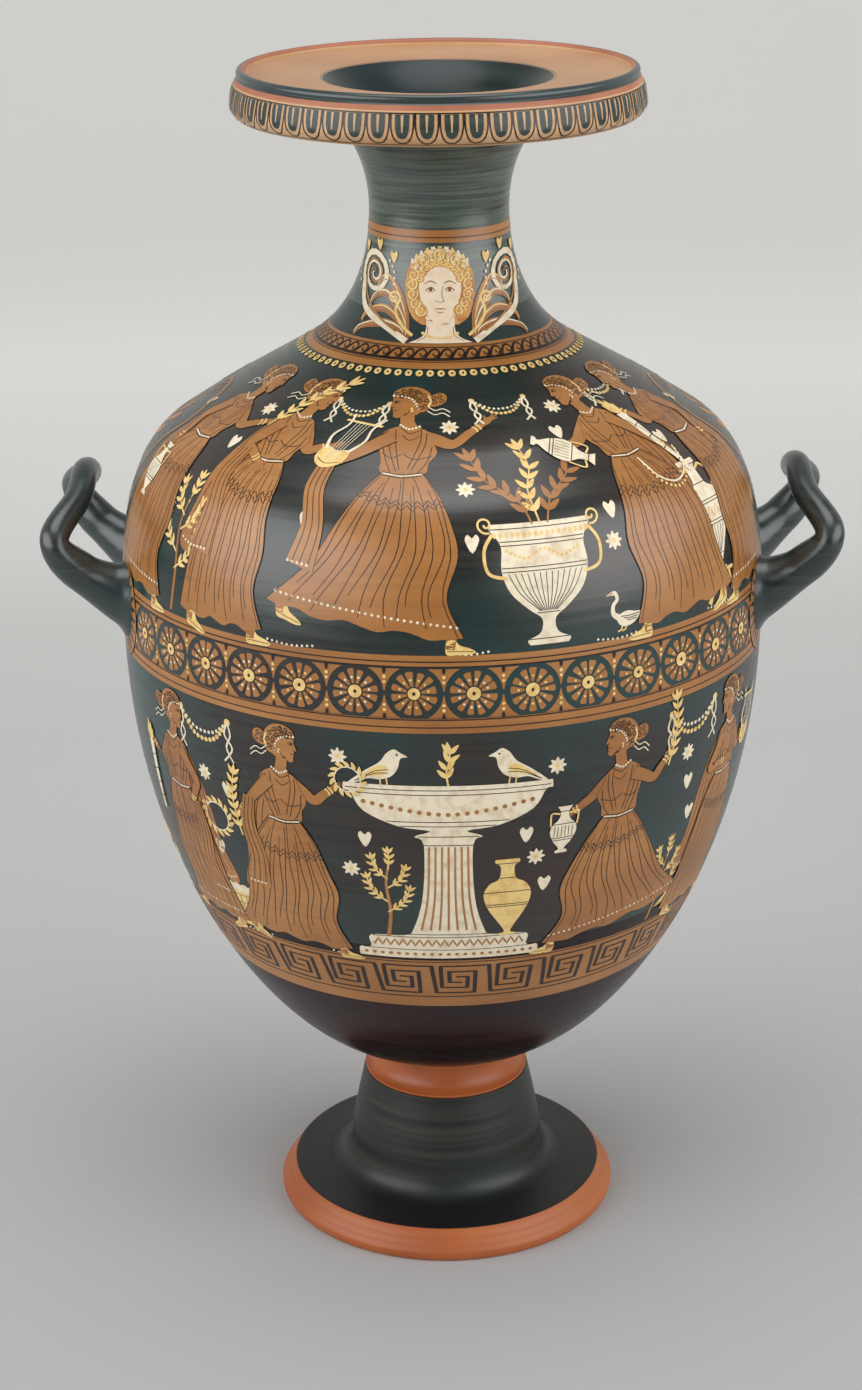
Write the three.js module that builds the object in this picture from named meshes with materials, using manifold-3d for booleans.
// Hydria: a three-handled water jar in fired clay, thrown in sections that are luted together.
// Millimetres, +Z up. The origin is on the jar's axis, on the surface that the foot stands on.
import * as THREE from 'three';
import { mergeVertices } from 'three/addons/utils/BufferGeometryUtils.js';
import Module from 'manifold-3d';

const wasm = await Module();
wasm.setup();

// Facets round the axis, round a handle's coil, and spans along one curve of an outline
const TURN_FACETS = 40;
const COIL_FACETS = 12;
const BOWL_SPANS = 12;
const CURVE_SPANS = 7;
const SWEEP_SPANS = 6;
const LIP_SPANS = 4;
const COIL_SPANS = 3;

// The shortest span that an outline is cut to, and the clearance where two curved pieces meet
const SHORTEST_SPAN = 1;
const CLEARANCE = 0.3;

// Foot: a moulded disc that stands on a contact ring, hollow underneath
const FOOT_RADIUS = 116;
const FOOT_CONTACT_OUTER = 113.8;
const FOOT_CONTACT_INNER = 99;
const FOOT_EDGE_LOW = 3.2;
const FOOT_EDGE_HIGH = 6.6;
const FOOT_SHOULDER_RADIUS = 106.2;
const FOOT_TOP = 19.8;
const FOOT_HOLLOW_RADIUS = 93;
const FOOT_HOLLOW_HEIGHT = 7;

// Stem: a tapering hollow pedestal with a spigot that drops into the disc
const STEM_BORE = 40;
const STEM_SPIGOT_WALL = 8;
const STEM_SPIGOT_LENGTH = 7;
const STEM_BASE_RADIUS = 82;
const STEM_BASE_EDGE = 1.6;
const STEM_SWEEP_IN = 13;
const STEM_SWEEP_UP = 14;
const STEM_LOW_RADIUS = 65.5;
const STEM_LOW_RISE = 26.2;
const STEM_LOW_HEIGHT = FOOT_TOP + STEM_LOW_RISE;
const STEM_TOP_RADIUS = 56.4;
const STEM_HEIGHT = 71.4;
const STEM_TOP = FOOT_TOP + STEM_HEIGHT;
const STEM_TAPER_BOW = 1;

// Collar: the hollowed clay ring between the stem and the bowl
const COLLAR_RADIUS = 56;
const COLLAR_EDGE = 2.2;
const COLLAR_HOLLOW = 3;
const COLLAR_WAIST_RADIUS = 47.5;
const COLLAR_WAIST_RISE = 17.8;
const COLLAR_TOP_RADIUS = 50.5;
const COLLAR_HEIGHT = 28.8;

// Outline of the jar's wall, from the bowl's underside to the mouth. Each stage stands on the one below it.
const BOWL_BASE_RADIUS = 55.2;
const BOWL_BASE_HEIGHT = STEM_TOP + COLLAR_HEIGHT;
const BOWL_BASE_RISE = 3;
const BOWL_BASE_REACH = 53.9;
const BELLY_RADIUS = 209;
const BELLY_STAGE = 305;
const BELLY_HEIGHT = BOWL_BASE_HEIGHT + BELLY_STAGE;
const BELLY_FALL = 179.8;
const BELLY_RISE = 29.2;
const SHOULDER_RADIUS = 172.1;
const SHOULDER_STAGE = 130.5;
const SHOULDER_HEIGHT = BELLY_HEIGHT + SHOULDER_STAGE;
const SHOULDER_PITCH = 32.7;
const SHOULDER_TIGHTNESS = 47.1;
const SHOULDER_REACH = 49.9;
const NECK_ROOT_RADIUS = 85.9;
const NECK_ROOT_STAGE = 52;
const NECK_ROOT_HEIGHT = SHOULDER_HEIGHT + NECK_ROOT_STAGE;
const NECK_ROOT_PITCH = 29.9;
const NECK_ROOT_REACH = 100.4;
const NECK_ROOT_TIGHTNESS = 26.5;
const NECK_RADIUS = 44.2;
const NECK_WAIST_STAGE = 84.7;
const NECK_WAIST_HEIGHT = NECK_ROOT_HEIGHT + NECK_WAIST_STAGE;
const NECK_WAIST_FALL = 42.6;
const NECK_WAIST_RISE = 25.6;
const FLARE_RADIUS = 66;
const FLARE_STAGE = 55.8;
const FLARE_HEIGHT = NECK_WAIST_HEIGHT + FLARE_STAGE;
const FLARE_PITCH = 42;
const FLARE_REACH = 16;

// Walls, and where the thrown sections are luted together: above the stage below, or below the flare
const WALL = 9;
const FLOOR = 10;
const LAP = 5;
const BOWL_JOINT_RISE = 142;
const SHOULDER_JOINT_RISE = 80;
const NECK_JOINT_RISE = 28.5;
const MOUTH_JOINT_DROP = 28;
const BOWL_JOINT_HEIGHT = BOWL_BASE_HEIGHT + BOWL_JOINT_RISE;
const SHOULDER_JOINT_HEIGHT = BELLY_HEIGHT + SHOULDER_JOINT_RISE;
const NECK_JOINT_HEIGHT = NECK_ROOT_HEIGHT + NECK_JOINT_RISE;
const MOUTH_JOINT_HEIGHT = FLARE_HEIGHT - MOUTH_JOINT_DROP;

// Mouth: a throat that opens to a flat plate, with an overhanging lip let in round its edge.
// Every height in it is a drop below the top of the rim, and the lip reaches out from the plate's seat.
const MOUTH_STAGE = 32;
const TOTAL_HEIGHT = FLARE_HEIGHT + MOUTH_STAGE;
const THROAT_RADIUS = 71.8;
const THROAT_DROP = 7.3;
const THROAT_STEEPNESS = 24;
const PLATE_SEAT_RADIUS = 112;
const PLATE_SEAT_DROP = 16;
const PLATE_EDGE_DROP = 4.4;
const PLATE_LEDGE = 6;
const PLATE_ROOT_REACH = 16;
const PLATE_REACH = 8.4;
const PLATE_RIM_DROP = 3.8;
const RIM_CREST_REACH = 10.8;
const RIM_CREST_HALF = 1;
const RIM_REACH = 13;
const RIM_DROP = 2.6;
const RIM_FOOT_DROP = 5.8;
const LIP_REACH = 17.8;
const LIP_SWELL_DROP = 23;
const LIP_SHOULDER_REACH = 15.4;
const LIP_SHOULDER_DROP = 9.6;
const LIP_BOTTOM_REACH = 12.8;
const LIP_BOTTOM_DROP = 30;
const LIP_FOOT_WIDTH = 7;
const LIP_INNER_WIDTH = 10;
const LIP_LEDGE_THICKNESS = 4;

// Side handles: a coil with its two ends on the belly, its corners flung out and its grip raised.
// Each stop stands out from the wall, to each side of the handle's middle, and above the root.
const SIDE_ROOT_ANGLE = 13;
const SIDE_ROOT_RISE = 21;
const SIDE_ROOT_HEIGHT = BELLY_HEIGHT + SIDE_ROOT_RISE;
const SIDE_ROOT_SINK = 10.5;
const SIDE_ARM = { out: 20.5, spread: 56.5, above: 24, thickness: 12.7 };
const SIDE_CORNER = { out: 36.4, spread: 61.5, above: 47, thickness: 9.3 };
const SIDE_RISE = { out: 24, spread: 30, above: 65.5, thickness: 8.6 };
const SIDE_GRIP = { out: 22.4, spread: 0, above: 74, thickness: 8.4 };
const SIDE_ROOT_THICKNESS = 20.5;

// Back handle: an upright coil from the neck to the shoulder. Its stops stand out from the jar's axis
// and below the flare, and its foot stands above the shoulder.
const BACK_TOP_DROP = 42;
const BACK_TOP_SINK = 7;
const BACK_CREST = { reach: 76, drop: 24 };
const BACK_BEND = { reach: 101, drop: 42 };
const BACK_GRIP = { reach: 110, drop: 90 };
const BACK_HEEL = { reach: 118, drop: 136 };
const BACK_FOOT_RISE = 30.5;
const BACK_FOOT_SINK = 14;
const BACK_THICKNESS = 9.5;
const BACK_ROOT_THICKNESS = 14;

const MATERIALS = {
  gloss: { color: 0x1d2320, roughness: 0.22, metalness: 0 },
  painted: { color: 0x2a2723, roughness: 0.26, metalness: 0 },
  clay: { color: 0xb5663a, roughness: 0.6, metalness: 0 },
};

const object = new THREE.Group();

const radians = THREE.MathUtils.degToRad;
const at = (radius, height) => new THREE.Vector2(radius, height);
const below = (drop) => TOTAL_HEIGHT - drop;
const beyondSeat = (reach) => PLATE_SEAT_RADIUS + reach;

// A point that lies a length away from another, at a pitch above the horizontal
function along(start, pitch, length) {
  return at(start.x + Math.cos(radians(pitch)) * length, start.y + Math.sin(radians(pitch)) * length);
}

// The outline is five curves end to end: bowl, belly, shoulder, neck and flare
function wallOutline() {
  const base = at(BOWL_BASE_RADIUS, BOWL_BASE_HEIGHT);
  const belly = at(BELLY_RADIUS, BELLY_HEIGHT);
  const shoulder = at(SHOULDER_RADIUS, SHOULDER_HEIGHT);
  const root = at(NECK_ROOT_RADIUS, NECK_ROOT_HEIGHT);
  const waist = at(NECK_RADIUS, NECK_WAIST_HEIGHT);
  const flare = at(FLARE_RADIUS, FLARE_HEIGHT);
  const curves = [
    [
      base,
      along(base, BOWL_BASE_RISE, BOWL_BASE_REACH),
      at(BELLY_RADIUS, BELLY_HEIGHT - BELLY_FALL),
      belly,
    ],
    [
      belly,
      at(BELLY_RADIUS, BELLY_HEIGHT + BELLY_RISE),
      along(shoulder, -SHOULDER_PITCH, SHOULDER_TIGHTNESS),
      shoulder,
    ],
    [
      shoulder,
      along(shoulder, -SHOULDER_PITCH, -SHOULDER_REACH),
      along(root, -NECK_ROOT_PITCH, NECK_ROOT_REACH),
      root,
    ],
    [
      root,
      along(root, -NECK_ROOT_PITCH, -NECK_ROOT_TIGHTNESS),
      at(NECK_RADIUS, NECK_WAIST_HEIGHT - NECK_WAIST_FALL),
      waist,
    ],
    [
      waist,
      at(NECK_RADIUS, NECK_WAIST_HEIGHT + NECK_WAIST_RISE),
      along(flare, FLARE_PITCH, -FLARE_REACH),
      flare,
    ],
  ];
  const points = [];
  for (const [a, b, c, d] of curves) {
    const spans = new THREE.CubicBezierCurve(a, b, c, d).getPoints(points.length ? CURVE_SPANS : BOWL_SPANS);
    if (points.length) spans.shift();
    points.push(...spans);
  }
  return points;
}

// The same outline set inwards by a depth, square to the wall; a negative depth sets it outwards
function setIn(points, depth) {
  return points.map((point, index) => {
    const before = points[Math.max(index - 1, 0)];
    const after = points[Math.min(index + 1, points.length - 1)];
    const run = after.clone().sub(before).normalize();
    return at(point.x - run.y * depth, point.y + run.x * depth);
  });
}

const outside = wallOutline();
const inside = setIn(outside, WALL);

// Where an outline crosses a height
function crossing(points, height) {
  for (let index = 1; index < points.length; index += 1) {
    const low = points[index - 1];
    const high = points[index];
    if (low.y <= height && high.y >= height) {
      const share = (height - low.y) / (high.y - low.y);
      return at(low.x + (high.x - low.x) * share, height);
    }
  }
  return points[points.length - 1].clone();
}

// The stretch of an outline between two heights, with its cut ends and no sliver next to them
function stretch(points, low, high) {
  const middle = points.filter((point) => point.y > low + SHORTEST_SPAN && point.y < high - SHORTEST_SPAN);
  return [crossing(points, low), ...middle, crossing(points, high)];
}

// A closed body from a mesh: shared corners merged, slivers dropped, faces pointing out
function closedBody(geometry) {
  const bare = geometry.index ? geometry.toNonIndexed() : geometry;
  bare.deleteAttribute('normal');
  bare.deleteAttribute('uv');
  const merged = mergeVertices(bare, 1e-4);
  const corners = merged.index.array;
  const place = merged.attributes.position;
  const kept = [];
  let volume = 0;
  const [a, b, c] = [new THREE.Vector3(), new THREE.Vector3(), new THREE.Vector3()];
  for (let index = 0; index < corners.length; index += 3) {
    const [i, j, k] = [corners[index], corners[index + 1], corners[index + 2]];
    if (i === j || j === k || k === i) continue;
    kept.push(i, j, k);
    a.fromBufferAttribute(place, i);
    b.fromBufferAttribute(place, j);
    c.fromBufferAttribute(place, k);
    volume += a.dot(b.cross(c));
  }
  if (volume < 0) kept.reverse();
  merged.setIndex(kept);
  return merged;
}

// A ring or disc turned round the jar's axis from a closed outline of radius and height
function turned(points) {
  const loop = [...points];
  const start = points[0];
  const end = points[points.length - 1];
  if (start.x > 0 || end.x > 0) loop.push(start.clone());
  const geometry = new THREE.LatheGeometry(loop, TURN_FACETS);
  geometry.rotateX(Math.PI / 2);
  return closedBody(geometry);
}

// A coil of changing thickness along a smooth route, closed at both ends
function coil(route, thicknesses) {
  const curve = new THREE.CatmullRomCurve3(route, false, 'catmullrom', 0.5);
  const spans = (route.length - 1) * COIL_SPANS;
  const positions = [];
  const rings = [];
  const across = new THREE.Vector3();
  const reference = sideOfRoute(route);
  for (let step = 0; step <= spans; step += 1) {
    const share = step / spans;
    const centre = curve.getPoint(share);
    const run = curve.getTangent(share);
    across.crossVectors(run, reference).normalize();
    const up = new THREE.Vector3().crossVectors(across, run).normalize();
    rings.push({ centre, across: across.clone(), up, radius: blend(thicknesses, share) });
  }
  for (const ring of rings) {
    for (let facet = 0; facet < COIL_FACETS; facet += 1) {
      const angle = (facet / COIL_FACETS) * Math.PI * 2;
      const point = ring.centre.clone();
      point.addScaledVector(ring.across, Math.cos(angle) * ring.radius);
      point.addScaledVector(ring.up, Math.sin(angle) * ring.radius);
      positions.push(point.x, point.y, point.z);
    }
  }
  const corners = [];
  for (let step = 0; step < spans; step += 1) {
    for (let facet = 0; facet < COIL_FACETS; facet += 1) {
      const next = (facet + 1) % COIL_FACETS;
      const low = step * COIL_FACETS;
      const high = low + COIL_FACETS;
      corners.push(low + facet, low + next, high + next, low + facet, high + next, high + facet);
    }
  }
  const last = spans * COIL_FACETS;
  for (let facet = 1; facet < COIL_FACETS - 1; facet += 1) {
    corners.push(0, facet + 1, facet, last, last + facet, last + facet + 1);
  }
  const geometry = new THREE.BufferGeometry();
  geometry.setAttribute('position', new THREE.Float32BufferAttribute(positions, 3));
  geometry.setIndex(corners);
  return closedBody(geometry);
}

// The direction square to the plane that a route mostly lies in
function sideOfRoute(route) {
  const first = route[0];
  const middle = route[Math.floor(route.length / 2)];
  const last = route[route.length - 1];
  const one = middle.clone().sub(first);
  return one.cross(last.clone().sub(first)).normalize();
}

// A value along evenly spaced ones, eased between them
function blend(values, share) {
  const place = share * (values.length - 1);
  const low = Math.min(Math.floor(place), values.length - 2);
  const rest = THREE.MathUtils.smoothstep(place - low, 0, 1);
  return values[low] + (values[low + 1] - values[low]) * rest;
}

function solidOf(geometry) {
  const vertProperties = new Float32Array(geometry.attributes.position.array);
  const triVerts = new Uint32Array(geometry.index.array);
  return new wasm.Manifold(new wasm.Mesh({ numProp: 3, vertProperties, triVerts }));
}

// A coil whose ends are cut to lie on the jar's wall
function seatedOnWall(geometry) {
  const cut = solidOf(geometry).subtract(solidOf(wallEnvelope));
  const pieces = cut.decompose().sort((one, other) => other.volume() - one.volume());
  const mesh = pieces[0].getMesh();
  const result = new THREE.BufferGeometry();
  result.setAttribute('position', new THREE.Float32BufferAttribute(mesh.vertProperties, 3));
  result.setIndex([...mesh.triVerts]);
  return result;
}

function add(name, geometry, material) {
  geometry.computeVertexNormals();
  const mesh = new THREE.Mesh(geometry, new THREE.MeshStandardMaterial(MATERIALS[material]));
  mesh.name = name;
  object.add(mesh);
}

// The jar's outline as one full body, a clearance larger than the wall
const grown = setIn(outside, -CLEARANCE);
const envelopeLow = BOWL_BASE_HEIGHT + SHORTEST_SPAN;
const envelopeHigh = FLARE_HEIGHT - SHORTEST_SPAN;
const wallEnvelope = turned([
  at(0, envelopeLow),
  ...stretch(grown, envelopeLow, envelopeHigh),
  at(0, envelopeHigh),
]);

// The lap at a joint: the lower section's tongue stands inside the upper section's skirt
const tongueFace = setIn(outside, WALL / 2 + CLEARANCE / 2);
const skirtFace = setIn(outside, WALL / 2 - CLEARANCE / 2);

function lapTop(height) {
  return [
    crossing(outside, height),
    crossing(tongueFace, height),
    crossing(tongueFace, height + LAP),
    crossing(inside, height + LAP),
  ];
}

function lapBottom(height) {
  return [
    crossing(inside, height + LAP + CLEARANCE),
    crossing(skirtFace, height + LAP + CLEARANCE),
    crossing(skirtFace, height),
    crossing(outside, height),
  ];
}

function wallSection(low, high) {
  const outer = stretch(outside, low, high);
  const inner = stretch(inside, low + LAP + CLEARANCE, high + LAP).reverse();
  return turned([
    ...outer.slice(0, -1),
    ...lapTop(high),
    ...inner.slice(1, -1),
    ...lapBottom(low).slice(0, -1),
  ]);
}

function footDisc() {
  const hole = STEM_BORE + STEM_SPIGOT_WALL + CLEARANCE;
  return turned([
    at(hole, FOOT_TOP - STEM_SPIGOT_LENGTH),
    at(FOOT_HOLLOW_RADIUS, FOOT_HOLLOW_HEIGHT),
    at(FOOT_CONTACT_INNER, 0),
    at(FOOT_CONTACT_OUTER, 0),
    at(FOOT_RADIUS, FOOT_EDGE_LOW),
    at(FOOT_RADIUS, FOOT_EDGE_HIGH),
    at(FOOT_SHOULDER_RADIUS, FOOT_TOP),
    at(hole, FOOT_TOP),
  ]);
}

function footStem() {
  const spigot = STEM_BORE + STEM_SPIGOT_WALL;
  const edge = FOOT_TOP + STEM_BASE_EDGE;
  const sweep = new THREE.CubicBezierCurve(
    at(STEM_BASE_RADIUS, edge),
    at(STEM_BASE_RADIUS - STEM_SWEEP_IN, edge),
    at(STEM_LOW_RADIUS, STEM_LOW_HEIGHT - STEM_SWEEP_UP),
    at(STEM_LOW_RADIUS, STEM_LOW_HEIGHT),
  );
  return turned([
    at(STEM_BORE, FOOT_TOP - STEM_SPIGOT_LENGTH),
    at(spigot, FOOT_TOP - STEM_SPIGOT_LENGTH),
    at(spigot, FOOT_TOP),
    at(STEM_BASE_RADIUS, FOOT_TOP),
    ...sweep.getPoints(SWEEP_SPANS),
    at((STEM_LOW_RADIUS + STEM_TOP_RADIUS) / 2 - STEM_TAPER_BOW, (STEM_LOW_HEIGHT + STEM_TOP) / 2),
    at(STEM_TOP_RADIUS, STEM_TOP),
    at(STEM_BORE, STEM_TOP),
  ]);
}

function footCollar() {
  const edge = STEM_TOP + COLLAR_EDGE;
  const hollow = new THREE.QuadraticBezierCurve(
    at(COLLAR_RADIUS, edge),
    at(COLLAR_WAIST_RADIUS, edge + COLLAR_HOLLOW),
    at(COLLAR_WAIST_RADIUS, STEM_TOP + COLLAR_WAIST_RISE),
  );
  return turned([
    at(STEM_BORE, STEM_TOP),
    at(COLLAR_RADIUS, STEM_TOP),
    ...hollow.getPoints(SWEEP_SPANS),
    at(COLLAR_TOP_RADIUS, BOWL_BASE_HEIGHT),
    at(STEM_BORE, BOWL_BASE_HEIGHT),
  ]);
}

function bowl() {
  const floorTop = BOWL_BASE_HEIGHT + FLOOR;
  const outer = stretch(outside, BOWL_BASE_HEIGHT, BOWL_JOINT_HEIGHT);
  const inner = stretch(inside, floorTop, BOWL_JOINT_HEIGHT + LAP).reverse();
  return turned([
    at(0, BOWL_BASE_HEIGHT),
    ...outer.slice(0, -1),
    ...lapTop(BOWL_JOINT_HEIGHT),
    ...inner.slice(1),
    at(0, floorTop),
  ]);
}

// The throat's inner face joins the neck's bore and opens to the plate
function mouthPlate() {
  const bore = crossing(inside, MOUTH_JOINT_HEIGHT + LAP + CLEARANCE);
  const flare = at(FLARE_RADIUS, FLARE_HEIGHT);
  const seat = below(PLATE_SEAT_DROP);
  const throat = new THREE.QuadraticBezierCurve(
    at(THROAT_RADIUS, below(THROAT_DROP)),
    at(THROAT_RADIUS - THROAT_STEEPNESS, below(THROAT_DROP + THROAT_STEEPNESS)),
    bore,
  );
  const underside = new THREE.QuadraticBezierCurve(
    flare,
    along(flare, FLARE_PITCH, PLATE_ROOT_REACH),
    at(PLATE_SEAT_RADIUS - PLATE_LEDGE - CLEARANCE, seat),
  );
  return turned([
    ...stretch(outside, MOUTH_JOINT_HEIGHT, FLARE_HEIGHT).slice(0, -1),
    ...underside.getPoints(SWEEP_SPANS),
    at(PLATE_SEAT_RADIUS, seat),
    at(PLATE_SEAT_RADIUS, below(PLATE_EDGE_DROP)),
    ...throat.getPoints(CURVE_SPANS).slice(0, -1),
    ...lapBottom(MOUTH_JOINT_HEIGHT).slice(0, -1),
  ]);
}

// The lip's ledge carries the plate, and its thin foot hangs clear of the plate's underside
function lipRing() {
  const bore = PLATE_SEAT_RADIUS + CLEARANCE;
  const ledge = PLATE_SEAT_RADIUS - PLATE_LEDGE;
  const seat = below(PLATE_SEAT_DROP);
  const foot = at(beyondSeat(LIP_BOTTOM_REACH), below(LIP_BOTTOM_DROP));
  const swellTop = at(beyondSeat(LIP_REACH), below(LIP_SWELL_DROP));
  const swell = new THREE.QuadraticBezierCurve(foot, at(swellTop.x, (foot.y + swellTop.y) / 2), swellTop);
  return turned([
    at(bore, seat),
    at(ledge, seat),
    at(ledge, seat - LIP_LEDGE_THICKNESS),
    at(foot.x - LIP_INNER_WIDTH, seat - LIP_LEDGE_THICKNESS),
    at(foot.x - LIP_FOOT_WIDTH, foot.y),
    ...swell.getPoints(LIP_SPANS),
    at(beyondSeat(LIP_SHOULDER_REACH), below(LIP_SHOULDER_DROP)),
    at(beyondSeat(RIM_REACH), below(RIM_FOOT_DROP)),
    at(beyondSeat(RIM_REACH), below(RIM_DROP)),
    at(beyondSeat(RIM_CREST_REACH + RIM_CREST_HALF), TOTAL_HEIGHT),
    at(beyondSeat(RIM_CREST_REACH - RIM_CREST_HALF), TOTAL_HEIGHT),
    at(beyondSeat(PLATE_REACH), below(PLATE_RIM_DROP)),
    at(bore, below(PLATE_EDGE_DROP)),
  ]);
}

// The root lies inside the wall's outline, and the cut leaves it on the wall
function sideHandle(side) {
  const wallRadius = crossing(outside, SIDE_ROOT_HEIGHT).x;
  const angle = radians(SIDE_ROOT_ANGLE);
  const depth = wallRadius - SIDE_ROOT_SINK;
  const root = {
    out: Math.cos(angle) * depth - wallRadius,
    spread: Math.sin(angle) * depth,
    above: 0,
    thickness: SIDE_ROOT_THICKNESS,
  };
  const stops = [root, SIDE_ARM, SIDE_CORNER, SIDE_RISE];
  const near = stops.map((stop) => ({ ...stop, spread: -stop.spread }));
  const all = [...near, SIDE_GRIP, ...stops.reverse()];
  const route = all.map(
    (stop) => new THREE.Vector3(side * (wallRadius + stop.out), stop.spread, SIDE_ROOT_HEIGHT + stop.above),
  );
  return seatedOnWall(coil(route, all.map((stop) => stop.thickness)));
}

function backHandle() {
  const top = crossing(outside, FLARE_HEIGHT - BACK_TOP_DROP);
  const foot = crossing(outside, SHOULDER_HEIGHT + BACK_FOOT_RISE);
  const root = { reach: top.x - BACK_TOP_SINK, drop: BACK_TOP_DROP };
  const heel = { reach: foot.x, drop: FLARE_HEIGHT - foot.y + BACK_FOOT_SINK };
  const stops = [root, BACK_CREST, BACK_BEND, BACK_GRIP, BACK_HEEL, heel];
  const route = stops.map((stop) => new THREE.Vector3(0, stop.reach, FLARE_HEIGHT - stop.drop));
  const middle = stops.slice(1, -1).map(() => BACK_THICKNESS);
  return seatedOnWall(coil(route, [BACK_ROOT_THICKNESS, ...middle, BACK_ROOT_THICKNESS]));
}

add('foot_disc', footDisc(), 'clay');
add('foot_stem', footStem(), 'gloss');
add('foot_collar', footCollar(), 'clay');
add('body_bowl', bowl(), 'gloss');
add('body_belly', wallSection(BOWL_JOINT_HEIGHT, SHOULDER_JOINT_HEIGHT), 'painted');
add('body_shoulder', wallSection(SHOULDER_JOINT_HEIGHT, NECK_JOINT_HEIGHT), 'painted');
add('neck', wallSection(NECK_JOINT_HEIGHT, MOUTH_JOINT_HEIGHT), 'gloss');
add('mouth_plate', mouthPlate(), 'clay');
add('lip_ring', lipRing(), 'clay');
add('side_handle_left', sideHandle(-1), 'gloss');
add('side_handle_right', sideHandle(1), 'gloss');
add('back_handle', backHandle(), 'gloss');

export default object;
